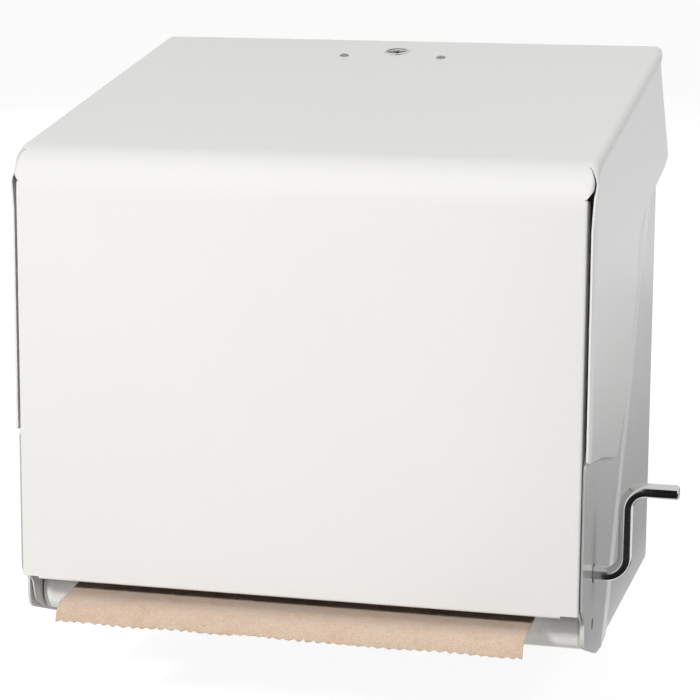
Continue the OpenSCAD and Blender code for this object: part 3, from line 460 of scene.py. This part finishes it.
board, shader = new_finish("core_board", (0.42, 0.33, 0.24), 0.85)
seam = wired(board, "ShaderNodeTexWave", {"Vector": on_object(board, (1, 0.35, 0.35)), "Scale": 12.0,
                                          "Distortion": 0.6}).outputs["Fac"]
feed(board, shader, "Base Color", blended(board, spread(board, seam, 0, 0.5, 0.02, 0.08), (0.3, 0.23, 0.16),
                                          (0.46, 0.365, 0.27)))
relief(board, shader, grain(board, 900, 4), 0.00005)
taken_over("towel_core", "towel", board, 0.3)

# The web's path in y and z, from the roll through the nip to the torn end.


def run(points, end, steps):
    """Leads the path straight on to a point, in even steps."""
    (y, z), (end_y, end_z) = points[-1], end
    points += [(y + (end_y - y) * k / steps, z + (end_z - z) * k / steps) for k in range(1, steps + 1)]


def round_off(points, centre, radius, first, last, steps):
    """Leads the path on along an arc, from one angle in degrees to another."""
    turns = [radians(first + (last - first) * k / steps) for k in range(1, steps + 1)]
    points += [(centre[0] + radius * cos(t), centre[1] + radius * sin(t)) for t in turns]


axle_z, nip_z = 23.0, 34.0
lip_y, lip_z, lip_fall, lip_r = -6.43, 26.99, 5.2, 7.7
path = [(142.35, 68.53)]
run(path, (45.24, 35.45), 6)
run(path, (43.72, 35.1), 1)
run(path, (35.5, nip_z), 2)
run(path, (roller_y, nip_z), 2)
round_off(path, (roller_y, axle_z), nip_z - axle_z, 90, 110, 2)
run(path, (15.74, 29.33), 2)
run(path, (13.23, 28.77), 1)
run(path, (lip_y, lip_z), 4)
fall = radians(lip_fall)
round_off(path, (lip_y + lip_r * sin(fall), lip_z - lip_r * cos(fall)), lip_r, 90 + lip_fall, 165, 6)
run(path, (-13.6, 19.3), 2)
web_half, paper_t, tooth_pitch, tooth_depth = 98.8, 0.22, 4.2, 1.15
columns = 376
web = bmesh.new()
start = [web.verts.new(case(-web_half, *path[0]))]
row = bmesh.ops.extrude_vert_indiv(web, verts=start)
bmesh.ops.translate(web, vec=(2 * web_half, 0, 0), verts=row["verts"])
bmesh.ops.subdivide_edges(web, edges=web.edges, cuts=columns - 1)
front = list(web.edges)
for (y0, z0), (y1, z1) in zip(path, path[1:]):
    front = grow(web, front, (0, y1 - y0, z1 - z0))
# the hanging end waves a little, and its last rows are torn along the tear bar's teeth
for v in web.verts:
    out = max(0.0, -(v.co.y + case_depth) - 2)
    wave = 0.55 * noise.noise((v.co.x / 31, 0.4, 0)) + 0.25 * noise.noise((v.co.x / 11, 2.4, 0))
    v.co.y += wave * min(1.0, out / 9)
    v.co.z += 0.5 * wave * min(1.0, out / 12)
torn = {v for e in front for v in e.verts}
for v in torn:
    place = v.co.x / tooth_pitch + 0.22 * noise.noise((v.co.x / 7, 1.1, 5))
    saw = abs((place % 1.0) - 0.5) * 2
    bite = 0.45 + 0.55 * min(1.0, max(0.0, 0.5 + 1.4 * noise.noise((v.co.x / 19, 7, 1))))
    v.co.z += tooth_depth * bite * saw + 0.35 * noise.noise((v.co.x / 1.1, 3, 3)) \
        + 0.9 * noise.noise((v.co.x / 26, 9, 2))
web_sheet = finished(in_frame(web), "towel_web_sheet", None, towel_paper, ("towel_web",),
                     0, 180)
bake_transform(web_sheet)
wall = web_sheet.modifiers.new("paper_thickness", "SOLIDIFY")
wall.thickness, wall.offset = paper_t / 1000, 0

# Lower roller: a white plastic tube with an end cap on each side, on a steel axle that
# also carries the cover's hinge ears.
black_steel = brushed("black_steel", (0.06, 0.06, 0.065), 0.4, (0.1, 1, 1))
taken_over("lower_axle", "case", black_steel, 0.2)
white_plastic = moulded("white_plastic", (0.92, 0.92, 0.91), 0.3, 0.000006, coat_weight=0.2)
roller_half, roller_r, roller_bore, roller_ease = 115.7, 10.5, 9.3, 0.4
half = [(roller_half, roller_bore), (roller_half, roller_r - roller_ease),
        (roller_half - roller_ease, roller_r), (60, roller_r)]
outline = [(-x, r) for x, r in half] + [(0, roller_r)] + half[::-1] + [(-roller_half, roller_bore)]
roller = turned(outline, 96, case(0, roller_y, axle_z))
finished(in_frame(roller), "lower_roller_tube", "nip_roller", white_plastic,
         ("lower_roller",), 0, 30)
taken_over("roller_end_caps", "nip_roller", nylon, 0.2)

# Feed roller: rubber sleeves pushed over an aluminium tube, which cross pins hold on the crank's
# rod. Three open spring clips, one inside each block and one outside the left plate, keep the rod
# from sliding along.
tube_metal = brushed("tube_metal", (0.66, 0.67, 0.69), 0.38, (0.05, 1, 1))
taken_over("feed_roller_core", "feed_shaft", tube_metal, 0.2)
rubber = moulded("black_rubber", (0.035, 0.035, 0.037), 0.72, 0.00003)
taken_over("feed_roller_sleeves", "feed_shaft", rubber, 0.5)
taken_over("roller_pins", "feed_shaft", plain_steel, 0.2)
taken_over("crank_clips", "feed_shaft", spring_wire, 0.1)

# Cards that only a gloss sees: two dark ones in front give the plating its dark core, and one on
# the floor behind, paler towards its far end, shades the flat of the side.
card_black = new_finish("card_black", (0.01, 0.01, 0.01), 1.0)[0]
card_shaded, shader = new_finish("card_shaded", (0, 0, 0), 1.0, emission_strength=1.0)
far = wired(card_shaded, "ShaderNodeSeparateXYZ", {"Vector": on_object(card_shaded)}).outputs["Y"]
near_tone = spread(card_shaded, far, 0.2, 0.46, 0.1, 0.6)
far_tone = spread(card_shaded, far, 0, 0.5, 0.95, 1.25)
both = wired(card_shaded, "ShaderNodeMath", {0: near_tone, 1: far_tone}, operation="ADD").outputs[0]
feed(card_shaded, shader, "Emission Color", both)
on_floor = floor_z + 0.001
for name, finish, middle, upright, half_size in (
        ("front_card", card_black, (0.42, -0.75, 0.15), pi / 2, (0.42, 0.295, 1, 1)),
        ("near_card", card_black, (0.52, -0.56, on_floor), 0, (0.5, 0.39, 1, 1)),
        ("side_card", card_shaded, (0.2, 0.55, on_floor), 0, (0.065, 0.67, 1, 1))):
    card_mesh = bmesh.new()
    lie = Matrix.Translation(middle) @ Matrix.Rotation(upright, 4, "X") @ Matrix.Diagonal(half_size)
    bmesh.ops.create_grid(card_mesh, x_segments=1, y_segments=1, size=1, matrix=lie)
    card = bpy.data.objects.new(name, bpy.data.meshes.new(name))
    card_mesh.to_mesh(card.data)
    scene.collection.objects.link(card)
    card.data.materials.append(finish)
    card.visible_camera = card.visible_diffuse = card.visible_shadow = card.visible_transmission = False

# Crank: one nickel plated steel rod, which turns in the two blocks. It is bent cold in two round
# bends outside the case, and its chamfered free end is the handle.
plated, shader = new_finish("plated_rod", (0.74, 0.735, 0.73), 0.1, 1.0)
feed(plated, shader, "Roughness", spread(plated, grain(plated, 240, 4), 0.1, 0.18))
relief(plated, shader, grain(plated, 900, 3, (0.2, 1, 1)), 0.000004)
rod_r, rod_z, bend_r, arm_x, throw = 3.0, 45, 8.0, 132.5, 36.0
left_end, handle_end, chamfer = -123.8, 154.0, 0.5
tip_ease, tip_chamfer = 0.45, 0.35
rod = bmesh.new()
at_end = Matrix.Translation((left_end, 0, 0)) @ Matrix.Rotation(pi / 2, 4, "Y")
ring = bmesh.ops.create_circle(rod, segments=48, radius=rod_r - chamfer, matrix=at_end)["verts"]
edges = list({e for v in ring for e in v.link_edges})
bmesh.ops.contextual_create(rod, geom=edges)


def bend(shape, edges, centre, axis, angle, steps):
    """Sweeps a ring of edges round an axis and returns the last ring."""
    verts = list({v for e in edges for v in e.verts})
    swept = bmesh.ops.spin(shape, geom=verts + edges, cent=centre, axis=axis, angle=angle, steps=steps)
    return [g for g in swept["geom_last"] if isinstance(g, bmesh.types.BMEdge)]


edges = grow(rod, edges, (chamfer, 0, 0), chamfer)
edges = grow(rod, edges, (arm_x - bend_r - left_end - chamfer, 0, 0))
edges = bend(rod, edges, (arm_x - bend_r, 0, bend_r), (0, 1, 0), -pi / 2, 18)
edges = grow(rod, edges, (0, 0, throw - 2 * bend_r))
edges = bend(rod, edges, (arm_x + bend_r, 0, throw - bend_r), (0, 1, 0), pi / 2, 18)
edges = grow(rod, edges, (handle_end - arm_x - bend_r - tip_ease - tip_chamfer, 0, 0))
edges = grow(rod, edges, (tip_ease, 0, 0), -0.25)
edges = grow(rod, edges, (tip_chamfer, 0, 0), -0.5)
bmesh.ops.contextual_create(rod, geom=edges)
bmesh.ops.recalc_face_normals(rod, faces=rod.faces)
bmesh.ops.translate(rod, vec=case(0, roller_y, rod_z), verts=rod.verts)
finished(in_frame(rod), "crank_rod", "feed_shaft", plated, ("crank",), 0, 30)

# Cover: one sheet of 0.8 mm steel, folded to a front panel, a large bend and a sloped top with
# a wing on each side, and enamelled white. Its ears hinge on the lower axle.
slope = radians(10)
half_w, wing_r, wing_rear, sheet_t = 121.5, 3.6, 206.0, 0.8
bend_y, bend_z, top_front = 20.0, 196.718, 213.5
panel_low, panel_half, panel_r = 34.4, 118.5, 1.0
hem_half, hem_low, hem_r, hem_rise = 111.3, 33.2, 1, 7.2
ear_half, ear_r, ear_hole_r = 118.1, 2.3, 3.25
# where the pieces of the large bend begin and end, in degrees about its axis
return_angle, ear_low_angle, ear_top_angle, wing_angle, top_angle = 165, 164, 122, 119.5, 100


def top_at(y):
    """The height of the sloped top."""
    return top_front + y * tan(slope)


cover = bmesh.new()
seed = cover.verts.new((0, 0, panel_low))


def led_on(shape, verts, step):
    """Extrudes points by a step and returns the new ones."""
    grown = bmesh.ops.extrude_vert_indiv(shape, verts=verts)
    bmesh.ops.translate(shape, vec=step, verts=grown["verts"])
    return grown["verts"]


tip = led_on(cover, [seed], (0, 0, bend_z - panel_low))
for sweep, steps in ((180 - return_angle, 8), (return_angle - ear_low_angle, 1),
                     (ear_low_angle - ear_top_angle, 22), (ear_top_angle - wing_angle, 1),
                     (wing_angle - top_angle, 14)):
    swept = bmesh.ops.spin(cover, geom=tip, cent=(0, bend_y, bend_z), axis=(1, 0, 0), angle=-radians(sweep),
                           steps=steps)
    tip = [g for g in swept["geom_last"] if isinstance(g, bmesh.types.BMVert)]
top_start = tip[0].co.copy()
tip = led_on(cover, tip, (0, wing_rear - tip[0].co.y, top_at(wing_rear) - tip[0].co.z))
profile = list(cover.edges)


def out_of(p):
    """Which way is outwards at a point of the front, the large bend or the top."""
    if p.z < bend_z:
        return Vector((0, -1, 0))
    if p.y > top_start.y + 0.01:
        return Vector((0, -sin(slope), cos(slope)))
    return Vector((0, p.y - bend_y, p.z - bend_z)).normalized()


def angle_at(p):
    """Where a point lies on the large bend, in degrees."""
    return degrees(atan2(p.z - bend_z, p.y - bend_y))


def between(edges, low, high):
    """The edges on the large bend between two angles."""
    return [e for e in edges if all(low - 0.05 < angle_at(v.co) < high + 0.05 and v.co.z > bend_z - 0.01
                                    for v in e.verts)]


side_edges = grow(cover, profile, (hem_half, 0, 0))
side_edges = grow(cover, side_edges, (panel_half - panel_r - hem_half, 0, 0))
panel_edges = [e for e in side_edges if all(
    v.co.z < bend_z + 0.01 or angle_at(v.co) > return_angle - 0.05 for v in e.verts)]
ear_edges = between(side_edges, ear_top_angle, ear_low_angle)
wing_edges = [e for e in side_edges if all(
    v.co.z > bend_z and angle_at(v.co) < wing_angle + 0.05 and v.co.y < wing_rear + 0.01 for v in e.verts)]


def folded(shape, edges, radius, place=None, steps=8):
    """Folds open edges over by a right angle; place moves a point along its edge as the fold turns."""
    start = {v: v.co.copy() for e in edges for v in e.verts}
    for k in range(1, steps + 1):
        grown = bmesh.ops.extrude_edge_only(shape, edges=edges)["geom"]
        verts = [g for g in grown if isinstance(g, bmesh.types.BMVert)]
        for v in verts:
            start[v] = next(start[e.other_vert(v)] for e in v.link_edges if e.other_vert(v) not in verts)
        for v in verts:
            p = place(start[v], k / steps) if place else start[v]
            turn = pi / 2 * k / steps
            v.co = p + Vector((1, 0, 0)) * radius * sin(turn) - out_of(p) * radius * (1 - cos(turn))
        edges = [g for g in grown if isinstance(g, bmesh.types.BMEdge) and all(v in verts for v in g.verts)]
    return edges


def along_bend(p, angle):
    """A point of the large bend at another angle on it."""
    reach = hypot(p.y - bend_y, p.z - bend_z)
    return Vector((p.x, bend_y + reach * cos(radians(angle)), bend_z + reach * sin(radians(angle))))


up_slope = Vector((0, cos(slope), sin(slope)))
wing_reach, rear_round, rear_corner = 0.98, 16.5, 1.2
ear_angle, ear_shift, ear_narrowing = (ear_low_angle + ear_top_angle) / 2, 2.3, 0.85


def wing_place(p, share):
    """The wing's bend runs further down the large bend at its outer side, and is rounded at the rear."""
    if p.z > bend_z and angle_at(p) > top_angle + 0.01:
        return along_bend(p, top_angle + (angle_at(p) - top_angle) * (1 + wing_reach * share))
    if p.y > wing_rear - 3:
        return p - up_slope * rear_round * (1 - cos(pi / 2 * share))
    return p


def ear_place(p, share):
    """The ear narrows to its outer side."""
    off_middle = (angle_at(p) - ear_angle) * (1 - ear_narrowing * share)
    return along_bend(p, ear_angle + ear_shift * share + off_middle)


def plate(shape, chain, corners, holed=False):
    """Closes a flat plate from a chain of edges round some corners, each eased by its own length."""
    count = {}
    for e in chain:
        for v in e.verts:
            count.setdefault(v, []).append(e)
    ends = [v for v, es in count.items() if len(es) == 1]
    first_y, first_z, _ = corners[0]
    ends.sort(key=lambda v: (v.co.y - first_y) ** 2 + (v.co.z - first_z) ** 2)
    x = ends[0].co.x
    points = [shape.verts.new((x, y, z)) for y, z, _ in corners]
    line = [ends[0], *points, ends[1]]
    for pair in zip(line, line[1:]):
        shape.edges.new(pair)
    for v, (_, _, ease) in zip(points, corners):
        bmesh.ops.bevel(shape, geom=[v], offset=ease, offset_type="OFFSET", segments=8, profile=0.5,
                        affect="VERTICES", clamp_overlap=False, material=-1)
    wire = [e for e in shape.edges if not e.link_faces]
    if holed:
        bmesh.ops.triangle_fill(shape, use_beauty=True, use_dissolve=False, edges=wire + chain)
    else:
        bmesh.ops.contextual_create(shape, geom=wire + chain)


# the flat part beyond the panel's width, its rear corner taken back a little
flat_wing = grow(cover, wing_edges, (half_w - wing_r - (panel_half - panel_r), 0, 0))
flat_ear = grow(cover, ear_edges, (ear_half - (panel_half - panel_r), 0, 0))
max((v for e in flat_wing for v in e.verts), key=lambda v: v.co.y).co -= up_slope * rear_corner

# wing: its rear edge runs in an S down to the point where it tapers off over the side plate
wing_chain = folded(cover, flat_wing, wing_r, wing_place)
wing_front = 2
plate(cover, wing_chain, [
    (198, 231, 6.0), (224.5, 199, 0.5), (224.5, 196.8, 0.7), (213, 193, 2.2), (148, 181, 3.2),
    (131, 173, 9.5), (126.5, 147, 3.4), (116, 122, 1.6), (108, 105, 5.2), (78, 83.5, 1.6), (36, 92.5, 4.0),
    (wing_front, 97, 1.6), (wing_front, 202.5, 1.6), (5.6, 204.6, 0.8)])
# ear: a tab that closes the corner in front of the wing
folded(cover, flat_ear, ear_r, ear_place)
# return of the panel, with the ear that hinges on the lower axle
return_chain = folded(cover, panel_edges, panel_r, None, 5)
at_axle = Matrix.Translation((panel_half, roller_y, axle_z)) @ Matrix.Rotation(pi / 2, 4, "Y")
bmesh.ops.create_circle(cover, segments=32, radius=ear_hole_r, matrix=at_axle)
return_depth, ear_rear, ear_size = 9, 39.5, 9
plate(cover, return_chain, [
    (return_depth, 200.5, 2.0), (return_depth, 43.4, 6.0), (26.5, axle_z + ear_size, 1.5),
    (ear_rear, axle_z + ear_size, 8.9), (ear_rear, axle_z - ear_size, 8.9), (23.5, axle_z - ear_size, 3.0),
    (13, 20, 2.0), (10.5, 29.5, 2.0), (4, panel_low, 1.0)], holed=True)
# folded hem along the panel's lower edge
hem_edges = [e for e in cover.edges if all(abs(v.co.z - panel_low) < 0.01 and v.co.x < hem_half + 0.01
                                           and abs(v.co.y) < 0.01 for v in e.verts)]
hem_edges = grow(cover, hem_edges, (0, 0, hem_low + hem_r - panel_low))
hem_edges = bend(cover, hem_edges, (0, hem_r, hem_low + hem_r), (1, 0, 0), pi, 10)
grow(cover, hem_edges, (0, 0, hem_rise))

# the wing's front edge is set in a little towards the side plate, in two easy steps that fade
# out below the ear
set_from, set_half_way, set_low, set_high = 9, 5.5, 190, 200
first_step, whole_step = 0.2, 0.65
for at, facing in (((0, set_from, 0), (0, 1, 0)), ((0, set_half_way, 0), (0, 1, 0)),
                   ((0, 0, set_low), (0, 0, 1))):
    wings = [f for f in cover.faces if all(v.co.x > half_w - 0.01 for v in f.verts)]
    edges = list({e for f in wings for e in f.edges})
    bmesh.ops.bisect_plane(cover, geom=wings + edges, dist=0.01, plane_co=at, plane_no=facing)
for v in cover.verts:
    if v.co.x > half_w - 0.01 and v.co.y < set_from:
        near = min(1, (set_from - v.co.y) / (set_from - set_half_way))
        nearer = max(0, (set_half_way - v.co.y) / (set_half_way - wing_front))
        fade = min(1, max(0, (set_high - v.co.z) / (set_high - set_low)))
        v.co.x -= (first_step * near + (whole_step - first_step) * nearer) * fade

bmesh.ops.mirror(cover, geom=cover.verts[:] + cover.edges[:] + cover.faces[:], axis="X", merge_dist=0.001)
bmesh.ops.remove_doubles(cover, verts=cover.verts, dist=0.001)
# hole for the lock
lock_x, lock_y, lock_hole_r, half_top_area = -1.5, 185.0, 5.0, 15000
flats = [f for f in cover.faces if f.calc_area() > half_top_area and f.normal.z ** 2 > 0.9]
rim = [e for f in flats for e in f.edges if sum(g in flats for g in e.link_faces) == 1]
bmesh.ops.delete(cover, geom=flats, context="FACES_ONLY")
bmesh.ops.delete(cover, geom=[e for e in cover.edges if not e.link_faces and abs(e.verts[0].co.x) < 0.01
                              and abs(e.verts[1].co.x) < 0.01], context="EDGES")
on_top = Matrix.Translation((lock_x, lock_y, top_at(lock_y))) @ Matrix.Rotation(slope, 4, "X")
ring = bmesh.ops.create_circle(cover, segments=56, radius=lock_hole_r, matrix=on_top)["verts"]
rim += list({e for v in ring for e in v.link_edges})
bmesh.ops.triangle_fill(cover, use_beauty=True, use_dissolve=False, edges=rim)
bmesh.ops.recalc_face_normals(cover, faces=cover.faces)
panel = max((f for f in cover.faces if abs(f.normal.y) > 0.99), key=lambda f: f.calc_area())
if panel.normal.y > 0:
    bmesh.ops.reverse_faces(cover, faces=cover.faces)
bmesh.ops.translate(cover, vec=case(0, 0, 0), verts=cover.verts)
cover_sheet = finished(in_frame(cover), "cover_sheet", "door", white_enamel, ("cover",), 0)
wall = cover_sheet.modifiers.new("sheet_thickness", "SOLIDIFY")
wall.thickness, wall.offset, wall.use_even_offset = sheet_t / 1000, -1, True
bevel = cover_sheet.modifiers.new("eased_edges", "BEVEL")
bevel.width, bevel.segments, bevel.angle_limit = 0.00016, 2, radians(45)
weigh = cover_sheet.modifiers.new("flat_faces", "WEIGHTED_NORMAL")
weigh.keep_sharp = True

# Lock: a zinc plated case under the top, riveted on both sides, with a keyed barrel in it. A plated
# collar trims the hole in the cover, and a screw holds the cam to the barrel.
taken_over("lock_case", "door", zinc_plate)
# the rivet heads get a dark grey enamel: painted shade for the dark arcs their heads cast on the top
rivet_shade_enamel = enamel("rivet_shade_enamel", (0.25, 0.25, 0.25), 0.35)
taken_over("lock_rivets", "door", rivet_shade_enamel, 0.1)
# the barrel's metal is darker than plain steel: partly its own tone, partly painted shade for the shade deep
# in the lock's hole
lock_metal = brushed("lock_metal", (0.24, 0.24, 0.25), 0.3, (1, 1, 1))
outline = [(-0.4, 5.02), (0.35, 5.02), (0.55, 5.2), (0.55, 5.55), (0.3, 5.95), (0.0, 6.1), (-0.1, 6.1),
           (-0.1, 5.1), (-0.4, 5.02)]
collar = turned(outline, 72, (0, 0, 0))
in_hole = Matrix.Translation(case(0, 0, 0)) @ on_top @ Matrix.Rotation(-pi / 2, 4, "Y")
bmesh.ops.transform(collar, matrix=in_hole, verts=collar.verts)
finished(in_frame(collar), "lock_collar", "door", plated, (), 0, 30)
taken_over("lock_barrel", "lock", lock_metal, 0.25)
taken_over("lock_cam", "lock", zinc_plate, 0.2)
taken_over("cam_screw", "lock", plain_steel, 0.2)
